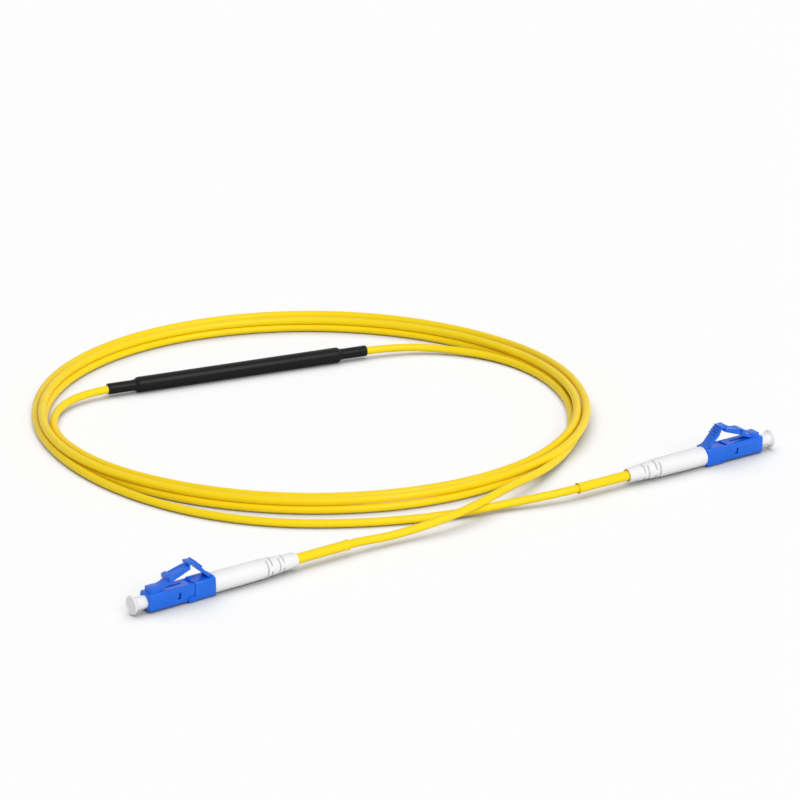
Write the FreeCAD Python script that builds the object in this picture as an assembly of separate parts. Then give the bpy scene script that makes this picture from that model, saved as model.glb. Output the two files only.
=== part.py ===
import FreeCAD, Part
import math
import os

# Fibre test cable: two latched plugs, a loosely coiled yellow cable and an in-line attenuator.
# Millimetres, +Z up, the cable lies on the plane z = 0. The origin is the centre, on that plane,
# of the box round the two plugs and the attenuator.
# A plug's own frame has x along its axis from the nose face to the cable, and z = 0 on the axis.

# Cable
cable_d = 2.2
cable_sides = 8
round_sides = 24
buffer_d = 0.9
slip = 0.05

# Ferrule and its holder
ferrule_d = 1.25
ferrule_reach = 0.5
ferrule_len = 7.1
ferrule_bevel = 0.25
ferrule_travel = 0.8
travel_gap = 0.2
flange_hex = 2.5
flange_len = 2.0
flange_tail_d = 1.6
flange_tail_len = 3.7

# Ferrule spring
spring_d = 2.48
spring_wire = 0.28
spring_turns = 4
spring_steps = 10
spring_end_gap = 0.1

# Front housing
housing_side = 4.5
housing_len = 13.2
corner_bevel = 0.3
nose_bevel = 0.35
mouth_d = 3.7
mouth_depth = 4.4
shoulder_wall = 0.8
shoulder_hole_d = 1.9
cavity_gap = 0.057
spigot_side = 3.9
spigot_len = 4.0
window_x = 8.6
window_len = 0.5
window_height = 1.7
window_foot = 0.5
top_slot_x = 5.8
top_slot_len = 4.4
top_slot_width = 1.0
top_slot_depth = 0.5
notch_len = 1.3
notch_width = 3.2
notch_depth = 0.6

# Latch lever and the block that carries it
block_x = 1.1
block_width = 3.2
hinge_gap = 0.06
latch_hinge_x = 3.9
latch_hinge_height = 0.62
latch_knuckle_r = 0.53
latch_width = 2.9
latch_step_x = 6.1
latch_ramp_x = 5.1
latch_ramp_height = 1.45
latch_step_foot = 2.0
latch_step_top = 3.05
latch_tip_back = 0.7
latch_tip_top = 4.6
latch_tip_thickness = 1.0
latch_belly_x = 8.2
latch_belly_height = 2.0
lug_width = 4.1
lug_len = 1.2
lug_height = 1.0
recess_start = 1.5
recess_end = 1.3
recess_width = 1.9
recess_depth = 0.15

# Rear collar
collar_side = 4.9
collar_len = 5.8
collar_bore_d = 3.2
tab_len = 2.0
tab_height = 1.3
tab_thickness = 0.45
trough_len = 3.0
trough_width = 2.4
trough_depth = 0.3
slit_back = 0.4
slit_len = 1.1
slit_height = 0.3
slit_depth = 0.3
slit_foot = 0.6
root_ahead = 0.3
root_height = 0.85
root_rear_height = 0.25

# Trigger lever, heights above the collar's top
trigger_hinge_back = 1.4
trigger_hinge_height = 0.5
trigger_knuckle_r = 0.45
trigger_width = 3.1
trigger_elbow_forward = 2.3
trigger_elbow_height = 3.5
trigger_brow_forward = 3.9
trigger_brow_height = 5.1
trigger_tip_forward = 5.65
trigger_tip_height = 5.25
trigger_strip = 1.05
trigger_overlap_gap = 0.17
ridge_count = 4
ridge_pitch = 0.78
ridge_len = 0.42
ridge_height = 0.36

# Dust cap
cap_reach = 3.9
cap_disc_d = 4.9
cap_rim = 0.4
cap_flare_len = 1.2
cap_neck_gap = 0.15
cap_bore_d = 1.36
cap_end_wall = 2.9
cap_mouth_gap = 0.2

# Crimp body and sleeve
crimp_body_flats = 2.5
crimp_body_bore_d = 1.2
crimp_tube_d = 2.4
crimp_tube_len = 4.6
crimp_gap = 0.1
crimp_sleeve_flats = 3.0
crimp_sleeve_len = 7.9

# Boot
boot_len = 25.0
boot_front_d = 5.3
boot_waist_d = 5.15
boot_waist_x = 14.5
boot_rear_wall = 0.52
boot_edge = 0.25
boot_pocket_room = 0.2
boot_pocket_gap = 0.07
boot_slot_x = 15.3
boot_slot_pitch = 1.8
boot_slot_count = 4
boot_slot_len = 0.4
boot_slot_web = 0.115

# Strain sleeve behind the boot
strain_sleeve_wall = 0.16
strain_sleeve_out = 16.0
strain_sleeve_in = 9.8

# In-line attenuator
attenuator_end_len = 8.0
shrink_wall = 0.4
shrink_end_wall = 0.425
attenuator_taper = 0.95
tube_len = 56.0
tube_end_cover = 3.2
tube_d = 3.5
tube_wall = 0.4
strand_grip = 4.8

# Where the pieces lie: the angle about the coil's centre and how far beyond its radius
coil_centre = (-33.5, 46.0)
coil_radius = 74.0
plug_a_angle = 254.46
plug_a_beyond = 64.46
plug_a_yaw = 35.0
plug_b_angle = 346.12
plug_b_beyond = 51.46
plug_b_yaw = 213.0
attenuator_angle = 126.11
attenuator_beyond = -38.79
attenuator_yaw = 22.7
lead_a_straight = 15.0
lead_b_straight = 7.0
strand_left_straight = 11.0
strand_right_straight = 13.0
crossing_gap = 0.7
arc_share = 0.45

# The coil lies as a wide floor layer with one turn on top of it: how far each oval is beyond the
# coil's radius in x and in y, and its shift in y
floor_outer = (2.9, 2.4, 2.9)
floor_inner = (-1.9, -10.0, 1.0)
top_turn = (0.5, -4.5, -2.7)
top_turn_height = 4.35
coil_bevel = 0.5
coil_sides = 40


def plan(angle, beyond):
    """Place in the plane, by its angle about the coil's centre and how far it is beyond the coil's radius."""
    turn = math.radians(angle)
    distance = coil_radius + beyond
    return coil_centre[0] + distance * math.cos(turn), coil_centre[1] + distance * math.sin(turn)


# Worked out from the sizes above
plug_a_nose = plan(plug_a_angle, plug_a_beyond)
plug_b_nose = plan(plug_b_angle, plug_b_beyond)
attenuator_centre = plan(attenuator_angle, attenuator_beyond)
plug_axis_z = boot_front_d / 2
attenuator_body_d = tube_d + 2 * (slip + shrink_wall)
attenuator_end_d = cable_d + 2 * (slip + shrink_end_wall)
attenuator_axis_z = attenuator_body_d / 2
floor_z = cable_d / 2
crossing_z = floor_z + cable_d + crossing_gap
housing_top = housing_side / 2
collar_top = collar_side / 2
collar_end = housing_len + collar_len
boot_end = collar_end + boot_len
sleeve_end = boot_end + strain_sleeve_out
cavity_x = mouth_depth + shoulder_wall
cavity_side = flange_hex / math.cos(math.pi / 6) + 2 * cavity_gap
flange_x = cavity_x + slip
flange_shoulder_x = flange_x + flange_len
flange_end = flange_shoulder_x + flange_tail_len
spigot_end = housing_len + spigot_len
crimp_body_x = flange_end + ferrule_travel + travel_gap
crimp_tube_x = collar_end - crimp_gap
crimp_tube_end = crimp_tube_x + crimp_tube_len
crimp_sleeve_x = collar_end + crimp_gap
jacket_x = crimp_tube_end + crimp_gap
boot_pocket_depth = crimp_gap + crimp_sleeve_len + boot_pocket_room
boot_pocket_d = crimp_sleeve_flats / math.cos(math.pi / 6) + 2 * boot_pocket_gap
strain_sleeve_d = cable_d + 2 * (slip + strain_sleeve_wall)
boot_hole_d = strain_sleeve_d + 2 * slip
boot_rear_d = boot_hole_d + 2 * boot_rear_wall
boot_slot_floor_d = boot_hole_d + 2 * boot_slot_web
cap_neck_d = mouth_d - 2 * cap_neck_gap
block_height = latch_hinge_height + latch_knuckle_r
root_len = trigger_hinge_back + root_ahead
latch_hinge_z = housing_top + latch_hinge_height
trigger_hinge_x = collar_end - trigger_hinge_back
trigger_hinge_z = collar_top + trigger_hinge_height
latch_tip_x = housing_len - latch_tip_back
attenuator_body_len = tube_len + 2 * tube_end_cover
attenuator_len = attenuator_body_len + 2 * attenuator_end_len


def vec(x, y, z):
    return FreeCAD.Vector(x, y, z)


def turned(outline):
    """Solid of revolution about the x axis from a closed outline of (x, radius) points."""
    points = [vec(x, 0, r) for x, r in outline]
    return Part.Face(polygon(points)).revolve(vec(0, 0, 0), vec(1, 0, 0), 360)


def rod(x0, x1, d):
    return Part.makeCylinder(d / 2, x1 - x0, vec(x0, 0, 0), vec(1, 0, 0))


def ring_points(x, r, sides):
    """Corners of a regular polygon across the x axis, with a flat side down."""
    turns = [2 * math.pi * (i + 0.5) / sides for i in range(sides)]
    return [vec(x, r * math.sin(t), r * math.cos(t)) for t in turns]


def polygon(points):
    return Part.makePolygon(points + points[:1])


def prism(x0, x1, d, sides):
    return Part.Face(polygon(ring_points(x0, d / 2, sides))).extrude(vec(x1 - x0, 0, 0))


def closed_solid(outlines):
    """Solid bounded by flat faces, each given by its corners."""
    solid = Part.Solid(Part.Shell([Part.Face(polygon(o)) for o in outlines]))
    solid.fix(1e-6, 1e-6, 1e-6)
    return solid


def many_sided(outline):
    """Round piece about the x axis from (x, radius) points, with flat sides to keep its facets few."""
    rings = [ring_points(x, r, round_sides) for x, r in outline]
    faces = [rings[0], rings[-1]]
    for near, far in zip(rings, rings[1:]):
        for i in range(round_sides):
            faces.append([near[i - 1], near[i], far[i], far[i - 1]])
    return closed_solid(faces)


def hex_bar(x0, x1, flats):
    return prism(x0, x1, flats / math.cos(math.pi / 6), 6)


def cross_rod(x, z, r, width):
    return Part.makeCylinder(r, width, vec(x, -width / 2, z), vec(0, 1, 0))


def bar(x0, x1, width, z0, z1):
    return Part.makeBox(x1 - x0, width, z1 - z0, vec(x0, -width / 2, z0))


def plate(outline, width):
    """Flat piece of the given width in y from a closed outline of (x, z) points."""
    points = [vec(x, -width / 2, z) for x, z in outline]
    return Part.Face(polygon(points)).extrude(vec(0, width, 0))


def square_bar(x0, x1, side, bevel):
    """Square bar along x with its four long edges bevelled."""
    h = side / 2
    k = h - bevel
    ring = [(k, h), (h, k), (h, -k), (k, -h), (-k, -h), (-h, -k), (-h, k), (-k, h)]
    points = [vec(x0, y, z) for y, z in ring]
    return Part.Face(polygon(points)).extrude(vec(x1 - x0, 0, 0))


def edges_in_plane(shape, axis, value):
    """Edges whose two ends lie in the plane where the given coordinate has the given value."""
    return [e for e in shape.Edges if all(abs(getattr(v.Point, axis) - value) < 1e-6 for v in e.Vertexes)]


def side_tab(x0, x1, gap):
    """The collar's low forward tab on one side, or with a gap the pocket that it lies in."""
    foot = -collar_top - gap
    head = -collar_top + tab_height + gap
    return Part.makeBox(x1 - x0, tab_thickness + gap, head - foot, vec(x0, -collar_top, foot))


def side_window(side):
    """Window through one side wall, with a foot that points left as it is seen from outside."""
    y = 0 if side > 0 else -collar_top
    toe_x = window_x if side > 0 else window_x - window_foot
    slot = Part.makeBox(window_len, collar_top, window_height, vec(window_x, y, -window_height / 2))
    toe = Part.makeBox(window_len + window_foot, collar_top, window_foot, vec(toe_x, y, -window_height / 2))
    return slot.fuse(toe)


def front_housing():
    nose = square_bar(0, housing_len, housing_side, corner_bevel)
    nose = nose.makeChamfer(nose_bevel, edges_in_plane(nose, "x", 0))
    spigot = square_bar(housing_len - slip, spigot_end, spigot_side, corner_bevel)
    block_top = housing_top + block_height
    block = plate(
        [
            (block_x, housing_top - slip),
            (block_x + slip, block_top),
            (latch_hinge_x, block_top),
            (latch_hinge_x, housing_top - slip),
        ],
        block_width,
    )
    body = nose.fuse([spigot, block]).removeSplitter()
    hinge_seat = cross_rod(latch_hinge_x, latch_hinge_z, latch_knuckle_r + hinge_gap, block_width)
    mouth = rod(-slip, mouth_depth, mouth_d)
    shoulder_hole = rod(0, cavity_x + slip, shoulder_hole_d)
    cavity = bar(cavity_x, spigot_end + slip, cavity_side, -cavity_side / 2, cavity_side / 2)
    slot = bar(
        top_slot_x,
        top_slot_x + top_slot_len,
        top_slot_width,
        housing_top - top_slot_depth,
        housing_top + slip,
    )
    notch_x = housing_len - notch_len
    notch = bar(notch_x, housing_len, notch_width, housing_top - notch_depth, housing_top + slip)
    pocket = side_tab(housing_len - tab_len - slip, housing_len, slip)
    windows = [side_window(-1), side_window(1)]
    return body.cut([hinge_seat, mouth, shoulder_hole, cavity, slot, notch, pocket] + windows)


def latch_top_at(x):
    """Height above the housing of the upper arm's top face, x along the plug."""
    rise = (latch_tip_top - latch_step_top) / (latch_tip_x - latch_step_x)
    return latch_step_top + rise * (x - latch_step_x)


def latch_lever():
    z = housing_top
    root_foot = latch_hinge_height - latch_knuckle_r
    arm = plate(
        [
            (latch_hinge_x, z + block_height),
            (latch_ramp_x, z + latch_ramp_height),
            (latch_step_x, z + latch_step_foot),
            (latch_step_x, z + latch_step_top),
            (latch_tip_x, z + latch_tip_top),
            (latch_tip_x, z + latch_tip_top - latch_tip_thickness),
            (latch_belly_x, z + latch_belly_height),
            (latch_step_x, z + latch_step_foot - lug_height),
            (latch_hinge_x, z + root_foot),
        ],
        latch_width,
    )
    knuckle = cross_rod(latch_hinge_x, latch_hinge_z, latch_knuckle_r, latch_width)
    lug_end = latch_step_x + lug_len
    lugs = plate(
        [
            (latch_step_x, z + latch_step_top),
            (lug_end, z + latch_top_at(lug_end)),
            (lug_end, z + latch_top_at(lug_end) - lug_height),
            (latch_step_x, z + latch_step_top - lug_height),
        ],
        lug_width,
    )
    recess_x = latch_step_x + recess_start
    recess_tip = latch_tip_x - recess_end
    recess = plate(
        [
            (recess_x, z + latch_top_at(recess_x) + slip),
            (recess_tip, z + latch_top_at(recess_tip) + slip),
            (recess_tip, z + latch_top_at(recess_tip) - recess_depth),
            (recess_x, z + latch_top_at(recess_x) - recess_depth),
        ],
        recess_width,
    )
    return arm.fuse([knuckle, lugs]).removeSplitter().cut(recess)


def rear_collar():
    body = square_bar(housing_len, collar_end, collar_side, corner_bevel)
    root = plate(
        [
            (collar_end - root_len, collar_top - slip),
            (collar_end - root_len, collar_top + root_height),
            (trigger_hinge_x, collar_top + root_height),
            (collar_end, collar_top + root_rear_height),
            (collar_end, collar_top - slip),
        ],
        trigger_width,
    )
    tab = side_tab(housing_len - tab_len, housing_len + tab_thickness, 0)
    body = body.fuse([root, tab]).removeSplitter()
    socket = square_bar(housing_len - slip, spigot_end + slip, spigot_side + 2 * slip, corner_bevel)
    bore = prism(housing_len, collar_end + slip, collar_bore_d, round_sides)
    hinge_seat = cross_rod(trigger_hinge_x, trigger_hinge_z, trigger_knuckle_r + hinge_gap, trigger_width)
    hinge_room = bar(
        collar_end - root_len,
        trigger_hinge_x,
        trigger_width,
        collar_top,
        collar_top + root_height + slip,
    )
    trough = plate(
        [
            (housing_len - slip, collar_top + slip),
            (housing_len - slip, collar_top - trough_depth),
            (housing_len + trough_len, collar_top + slip),
        ],
        trough_width,
    )
    slit = Part.makeBox(
        slit_len,
        slit_depth + slip,
        slit_height,
        vec(housing_len + slit_back, collar_top - slit_depth, slit_foot - collar_top),
    )
    return body.cut([socket, bore, hinge_seat, hinge_room, trough, slit])


def trigger_lever():
    z = collar_top
    tip_x = trigger_hinge_x - trigger_tip_forward
    brow = (trigger_hinge_x - trigger_brow_forward, z + trigger_brow_height)
    elbow = (trigger_hinge_x - trigger_elbow_forward, z + trigger_elbow_height)
    tip_top = z + trigger_tip_height
    tip_foot = housing_top + latch_top_at(latch_tip_x) + trigger_overlap_gap
    foot = (trigger_hinge_x, trigger_hinge_z - trigger_knuckle_r)
    slope = math.atan2(brow[1] - elbow[1], brow[0] - elbow[0])
    inner_elbow = (elbow[0] - trigger_strip * math.sin(slope), elbow[1] + trigger_strip * math.cos(slope))
    strip = plate(
        [
            (trigger_hinge_x + trigger_knuckle_r, trigger_hinge_z),
            elbow,
            brow,
            (tip_x, tip_top),
            (tip_x, tip_foot),
            (brow[0], tip_foot),
            inner_elbow,
            (trigger_hinge_x - trigger_knuckle_r, trigger_hinge_z),
            foot,
        ],
        trigger_width,
    )
    knuckle = cross_rod(trigger_hinge_x, trigger_hinge_z, trigger_knuckle_r, trigger_width)
    return strip.fuse([knuckle] + trigger_ridges(brow, slope)).removeSplitter()


def trigger_ridges(brow, slope):
    """Grip ridges across the sloping outer face, from the brow down."""
    ridges = []
    for i in range(ridge_count):
        down = i * ridge_pitch
        ridge = bar(-ridge_len, 0, trigger_width, -ridge_height, ridge_height)
        ridge.rotate(vec(0, 0, 0), vec(0, 1, 0), -math.degrees(slope))
        ridge.translate(vec(brow[0] - down * math.cos(slope), 0, brow[1] - down * math.sin(slope)))
        ridges.append(ridge)
    return ridges


def dust_cap():
    disc_r = cap_disc_d / 2
    neck_r = cap_neck_d / 2
    front = -cap_reach
    flare_x = front + cap_rim
    end = mouth_depth - cap_mouth_gap
    body = many_sided(
        [
            (front, disc_r),
            (flare_x, disc_r),
            (flare_x + cap_flare_len, neck_r),
            (end, neck_r),
        ]
    )
    return body.cut(prism(front + cap_end_wall, end + slip, cap_bore_d, round_sides))


def ferrule():
    r = ferrule_d / 2
    tip = -ferrule_reach
    end = tip + ferrule_len
    return turned([(tip, 0), (tip, r - ferrule_bevel), (tip + ferrule_bevel, r), (end, r), (end, 0)])


def ferrule_flange():
    head = hex_bar(flange_x, flange_shoulder_x, flange_hex)
    tail = rod(flange_shoulder_x - slip, flange_end, flange_tail_d)
    return head.fuse(tail).cut(rod(flange_x - slip, flange_end + slip, ferrule_d))


def ferrule_spring():
    """Compression spring between the flange's shoulder and the crimp body: square wire, faceted turns."""
    h = spring_wire / 2
    x0 = flange_shoulder_x + spring_end_gap + h
    x1 = crimp_body_x - spring_end_gap - h
    r = (spring_d - spring_wire) / 2
    count = spring_turns * spring_steps
    rings = []
    for i in range(count + 1):
        t = 2 * math.pi * i / spring_steps
        x = x0 + (x1 - x0) * i / count
        corners = [(-h, r - h), (h, r - h), (h, r + h), (-h, r + h)]
        rings.append([vec(x + dx, c * math.cos(t), c * math.sin(t)) for dx, c in corners])
    triangles = [rings[0][:3], rings[0][2:] + rings[0][:1], rings[-1][:3], rings[-1][2:] + rings[-1][:1]]
    for near, far in zip(rings, rings[1:]):
        for i in range(4):
            triangles.append([near[i - 1], near[i], far[i]])
            triangles.append([near[i - 1], far[i], far[i - 1]])
    return closed_solid(triangles)


def crimp_body():
    body = hex_bar(crimp_body_x, crimp_tube_x, crimp_body_flats)
    tube = prism(crimp_tube_x - slip, crimp_tube_end, crimp_tube_d, round_sides)
    bore = prism(crimp_body_x - slip, crimp_tube_end + slip, crimp_body_bore_d, round_sides)
    return body.fuse(tube).cut(bore)


def crimp_sleeve():
    end = crimp_sleeve_x + crimp_sleeve_len
    outer = hex_bar(crimp_sleeve_x, end, crimp_sleeve_flats)
    return outer.cut(prism(crimp_sleeve_x - slip, end + slip, crimp_tube_d + 2 * slip, round_sides))


def boot_slots():
    """Staggered saw cuts: each ring has two, and every second ring is turned by a quarter."""
    slots = []
    reach = boot_front_d
    for i in range(boot_slot_count):
        x = collar_end + boot_slot_x + i * boot_slot_pitch
        for side in (0, 180):
            slot = Part.makeBox(boot_slot_len, 2 * reach, reach, vec(x, -reach, boot_slot_floor_d / 2))
            slot.rotate(vec(0, 0, 0), vec(1, 0, 0), side + 90 * ((i + 1) % 2))
            slots.append(slot)
    return slots


def boot():
    rear_r = boot_rear_d / 2
    front_r = boot_front_d / 2
    body = many_sided(
        [
            (collar_end, front_r - boot_edge),
            (collar_end + boot_edge, front_r),
            (collar_end + boot_waist_x, boot_waist_d / 2),
            (boot_end - boot_edge, rear_r),
            (boot_end, rear_r - boot_edge),
        ]
    )
    pocket = prism(collar_end - slip, collar_end + boot_pocket_depth, boot_pocket_d, round_sides)
    sleeve_hole = prism(collar_end, boot_end + slip, boot_hole_d, round_sides)
    return body.cut([pocket, sleeve_hole] + boot_slots())


def strain_sleeve():
    start = boot_end - strain_sleeve_in
    outer = prism(start, sleeve_end, strain_sleeve_d, round_sides)
    return outer.cut(prism(start - slip, sleeve_end + slip, cable_d + 2 * slip, round_sides))


def jacket_end():
    return prism(jacket_x, sleeve_end, cable_d, cable_sides)


def buffered_fibre():
    start = ferrule_len - ferrule_reach + ferrule_travel + travel_gap
    return prism(start, jacket_x, buffer_d, cable_sides)


def shrink_sleeve():
    half = attenuator_len / 2
    body = attenuator_body_len / 2
    shoulder = body - attenuator_taper
    end_r = attenuator_end_d / 2
    body_r = attenuator_body_d / 2
    outer = many_sided(
        [
            (-half, end_r),
            (-body, end_r),
            (-shoulder, body_r),
            (shoulder, body_r),
            (body, end_r),
            (half, end_r),
        ]
    )
    tube_room = prism(-tube_len / 2 - slip, tube_len / 2 + slip, tube_d + 2 * slip, round_sides)
    cable_room = prism(-half - slip, half + slip, cable_d + 2 * slip, round_sides)
    return outer.cut([tube_room, cable_room])


def attenuator_tube():
    outer = prism(-tube_len / 2, tube_len / 2, tube_d, round_sides)
    return outer.cut(prism(-tube_len / 2 - slip, tube_len / 2 + slip, tube_d - 2 * tube_wall, round_sides))


def attenuating_fibre():
    half = attenuator_len / 2 - strand_grip
    return prism(-half, half, buffer_d, cable_sides)


def placed(shape, nose, yaw, axis_z):
    moved = shape.copy()
    moved.rotate(vec(0, 0, 0), vec(0, 0, 1), yaw)
    moved.translate(vec(nose[0], nose[1], axis_z))
    return moved


def point_on(x, nose, yaw, axis_z):
    """Point on a placed piece's own x axis."""
    angle = math.radians(yaw)
    return vec(nose[0] + x * math.cos(angle), nose[1] + x * math.sin(angle), axis_z)


def rounded_path(name, points):
    """Straight runs joined by tangent arcs as large as the runs allow; prints the arcs' radii."""
    edges = []
    radii = []
    start = points[0]
    for before, corner, after in zip(points, points[1:], points[2:]):
        run_in = corner - before
        run_out = after - corner
        turn = run_in.getAngle(run_out)
        reach = arc_share * min(run_in.Length, run_out.Length)
        radius = reach / math.tan(turn / 2)
        entry = corner - run_in.normalize() * reach
        leave = corner + run_out.normalize() * reach
        inward = (run_out - run_in).normalize()
        middle = corner + inward * (math.hypot(radius, reach) - radius)
        edges.append(Part.LineSegment(start, entry).toShape())
        edges.append(Part.Arc(entry, middle, leave).toShape())
        radii.append(round(radius))
        start = leave
    edges.append(Part.LineSegment(start, points[-1]).toShape())
    print(name, "arc radii", radii)
    return Part.Wire(edges)


def cable_tube(name, points):
    """Plain cable along a route; prints its volume against section times length."""
    path = rounded_path(name, points)
    ring = polygon(ring_points(0, cable_d / 2, cable_sides))
    ring.Placement = FreeCAD.Placement(points[0], FreeCAD.Rotation(vec(1, 0, 0), points[1] - points[0]))
    tube = path.makePipeShell([ring], True, False)
    expected = Part.Face(ring).Area * path.Length
    print(name, "length", round(path.Length, 1), "volume ratio", round(tube.Volume / expected, 4))
    return tube


def beside_coil(angle, beyond, z):
    """Point of a cable's route."""
    x, y = plan(angle, beyond)
    return vec(x, y, z)


def lead_a():
    start = point_on(sleeve_end, plug_a_nose, plug_a_yaw, plug_axis_z)
    first = point_on(sleeve_end + lead_a_straight, plug_a_nose, plug_a_yaw, plug_axis_z)
    route = [
        beside_coil(297.4, 15.0, crossing_z),
        beside_coil(310.2, 9.7, crossing_z),
        beside_coil(323.6, 6.1, 2.2),
        beside_coil(337.6, 3.3, 1.2),
        beside_coil(351.7, 2.0, floor_z),
    ]
    return cable_tube("cable_lead_a", [start, first] + route)


def lead_b():
    start = point_on(sleeve_end, plug_b_nose, plug_b_yaw, plug_axis_z)
    first = point_on(sleeve_end + lead_b_straight, plug_b_nose, plug_b_yaw, plug_axis_z)
    route = [
        beside_coil(309.5, 14.9, 1.7),
        beside_coil(300.9, 11.7, floor_z),
        beside_coil(289.5, 10.0, floor_z),
        beside_coil(277.0, 8.6, floor_z),
        beside_coil(264.4, 7.8, floor_z),
        beside_coil(251.1, 6.1, floor_z),
        beside_coil(236.9, 3.8, floor_z),
        beside_coil(222.1, 2.1, floor_z),
        beside_coil(207.3, 1.1, floor_z),
        beside_coil(193.1, 1.5, floor_z),
    ]
    return cable_tube("cable_lead_b", [start, first] + route)


def strand_left():
    inside = strand_grip - attenuator_len / 2
    start = point_on(inside, attenuator_centre, attenuator_yaw, attenuator_axis_z)
    first = point_on(inside - strand_left_straight, attenuator_centre, attenuator_yaw, attenuator_axis_z)
    route = [
        beside_coil(180.0, -4.3, 1.6),
        beside_coil(191.4, -3.2, floor_z),
        beside_coil(202.5, -2.4, floor_z),
    ]
    return cable_tube("cable_strand_left", [start, first] + route)


def strand_right():
    inside = attenuator_len / 2 - strand_grip
    start = point_on(inside, attenuator_centre, attenuator_yaw, attenuator_axis_z)
    first = point_on(inside + strand_right_straight, attenuator_centre, attenuator_yaw, attenuator_axis_z)
    route = [
        beside_coil(51.1, -14.5, 1.5),
        beside_coil(36.7, -8.6, 1.2),
        beside_coil(22.0, -5.1, floor_z),
        beside_coil(8.3, -3.1, floor_z),
        beside_coil(355.0, -1.8, floor_z),
    ]
    return cable_tube("cable_strand_right", [start, first] + route)


def oval_disc(oval, z0, z1):
    """Many-sided oval disc from how far it is beyond the coil's radius in x and y, and its y shift."""
    half_x = coil_radius + oval[0]
    half_y = coil_radius + oval[1]
    turns = [2 * math.pi * i / coil_sides for i in range(coil_sides)]
    x, y = coil_centre[0], coil_centre[1] + oval[2]
    points = [vec(x + half_x * math.cos(t), y + half_y * math.sin(t), z0) for t in turns]
    return Part.Face(polygon(points)).extrude(vec(0, 0, z1 - z0))


def cable_coil():
    """Outer shape of the coiled turns: the floor layer, and the single turn that lies on it."""
    floor = oval_disc(floor_outer, 0, cable_d)
    floor = floor.makeChamfer(coil_bevel, edges_in_plane(floor, "z", cable_d))
    floor = floor.cut(oval_disc(floor_inner, -slip, cable_d + slip))
    beyond_x, beyond_y, shift = top_turn
    r = cable_d / 2
    top = oval_disc((beyond_x + r, beyond_y + r, shift), cable_d - slip, top_turn_height)
    top = top.makeChamfer(coil_bevel, edges_in_plane(top, "z", top_turn_height))
    top = top.cut(oval_disc((beyond_x - r, beyond_y - r, shift), 0, top_turn_height + slip))
    return floor.fuse(top)


PLUG_PIECES = {
    "front_housing": front_housing,
    "latch_lever": latch_lever,
    "rear_collar": rear_collar,
    "trigger_lever": trigger_lever,
    "dust_cap": dust_cap,
    "ferrule": ferrule,
    "ferrule_flange": ferrule_flange,
    "ferrule_spring": ferrule_spring,
    "crimp_body": crimp_body,
    "crimp_sleeve": crimp_sleeve,
    "boot": boot,
    "strain_sleeve": strain_sleeve,
    "jacket_end": jacket_end,
    "buffered_fibre": buffered_fibre,
}


def plug_nodes():
    nodes = {}
    for piece, make in PLUG_PIECES.items():
        shape = make()
        nodes[piece + "_a"] = placed(shape, plug_a_nose, plug_a_yaw, plug_axis_z)
        nodes[piece + "_b"] = placed(shape, plug_b_nose, plug_b_yaw, plug_axis_z)
    return nodes


def attenuator_nodes():
    pieces = {
        "shrink_sleeve": shrink_sleeve(),
        "attenuator_tube": attenuator_tube(),
        "attenuating_fibre": attenuating_fibre(),
    }
    return {k: placed(s, attenuator_centre, attenuator_yaw, attenuator_axis_z) for k, s in pieces.items()}


def cable_nodes():
    return {
        "cable_lead_a": lead_a(),
        "cable_lead_b": lead_b(),
        "cable_coil": cable_coil(),
        "cable_strand_left": strand_left(),
        "cable_strand_right": strand_right(),
    }


def main():
    os.makedirs("parts", exist_ok=True)
    nodes = {**plug_nodes(), **attenuator_nodes(), **cable_nodes()}
    for name, shape in nodes.items():
        shape.exportStep(os.path.join("parts", name + ".step"))


main()
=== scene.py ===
"""Fibre test cable: the looks of the coiled cable, its two latched plugs and its in-line attenuator."""

import logging
import math
from dataclasses import dataclass, field
from enum import Enum
from typing import Any

import bpy
from mathutils import Matrix, Vector


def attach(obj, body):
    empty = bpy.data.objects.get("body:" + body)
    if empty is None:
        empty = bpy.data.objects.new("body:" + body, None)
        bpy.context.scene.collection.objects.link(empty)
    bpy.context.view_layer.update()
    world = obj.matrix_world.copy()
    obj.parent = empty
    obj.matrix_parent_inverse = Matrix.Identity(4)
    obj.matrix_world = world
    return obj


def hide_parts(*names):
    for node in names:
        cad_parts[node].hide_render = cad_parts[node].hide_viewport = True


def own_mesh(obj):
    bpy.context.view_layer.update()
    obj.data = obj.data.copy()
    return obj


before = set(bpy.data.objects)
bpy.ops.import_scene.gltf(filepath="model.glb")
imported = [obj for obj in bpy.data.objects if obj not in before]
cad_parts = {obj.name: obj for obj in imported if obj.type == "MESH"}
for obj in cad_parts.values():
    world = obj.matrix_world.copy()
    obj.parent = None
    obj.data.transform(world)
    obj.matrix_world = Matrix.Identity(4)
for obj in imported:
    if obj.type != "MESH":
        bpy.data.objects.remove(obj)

MM = 0.001
# Points of a mesh that lie closer than this, in metres, are one point.
MERGE = 1e-6
# Angles in degrees: an edge sharper than SHARP is rounded, one flatter than SMOOTH is shaded smooth, and
# faces that meet at less than FLAT are one face.
SHARP = 32.0
SMOOTH = 40.0
FLAT = 0.5
# Number of faces across a rounded edge.
EDGE_FACES = 2
# Direction of the attenuator on the floor, in degrees; the creases of its sleeve run along it.
ATTENUATOR_YAW = 22.7
# Sockets of the colour mix, which go by number because several share a name.
MIX_FACTOR, MIX_FIRST, MIX_SECOND, MIX_RESULT = 0, 6, 7, 2
# Noise of the slow change in tone and gloss, that of the grain, and the part of the first that changes
# the gloss.
PATCH_NOISE = {"Detail": 2.0, "Roughness": 0.5}
GRAIN_NOISE = {"Detail": 3.0, "Roughness": 0.6}
GLOSS_RANGE = (0.3, 0.7)

log = logging.getLogger("fibre_test_cable")

Point = tuple[float, float, float]
Profile = list[tuple[float, float]]


class Body(Enum):
    """CAD bodies that pieces ride on; the letter of its plug follows the name of a moving one."""

    CABLE = "cable"
    LATCH = "latch"
    TRIGGER = "trigger"
    CAP = "cap"


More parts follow.
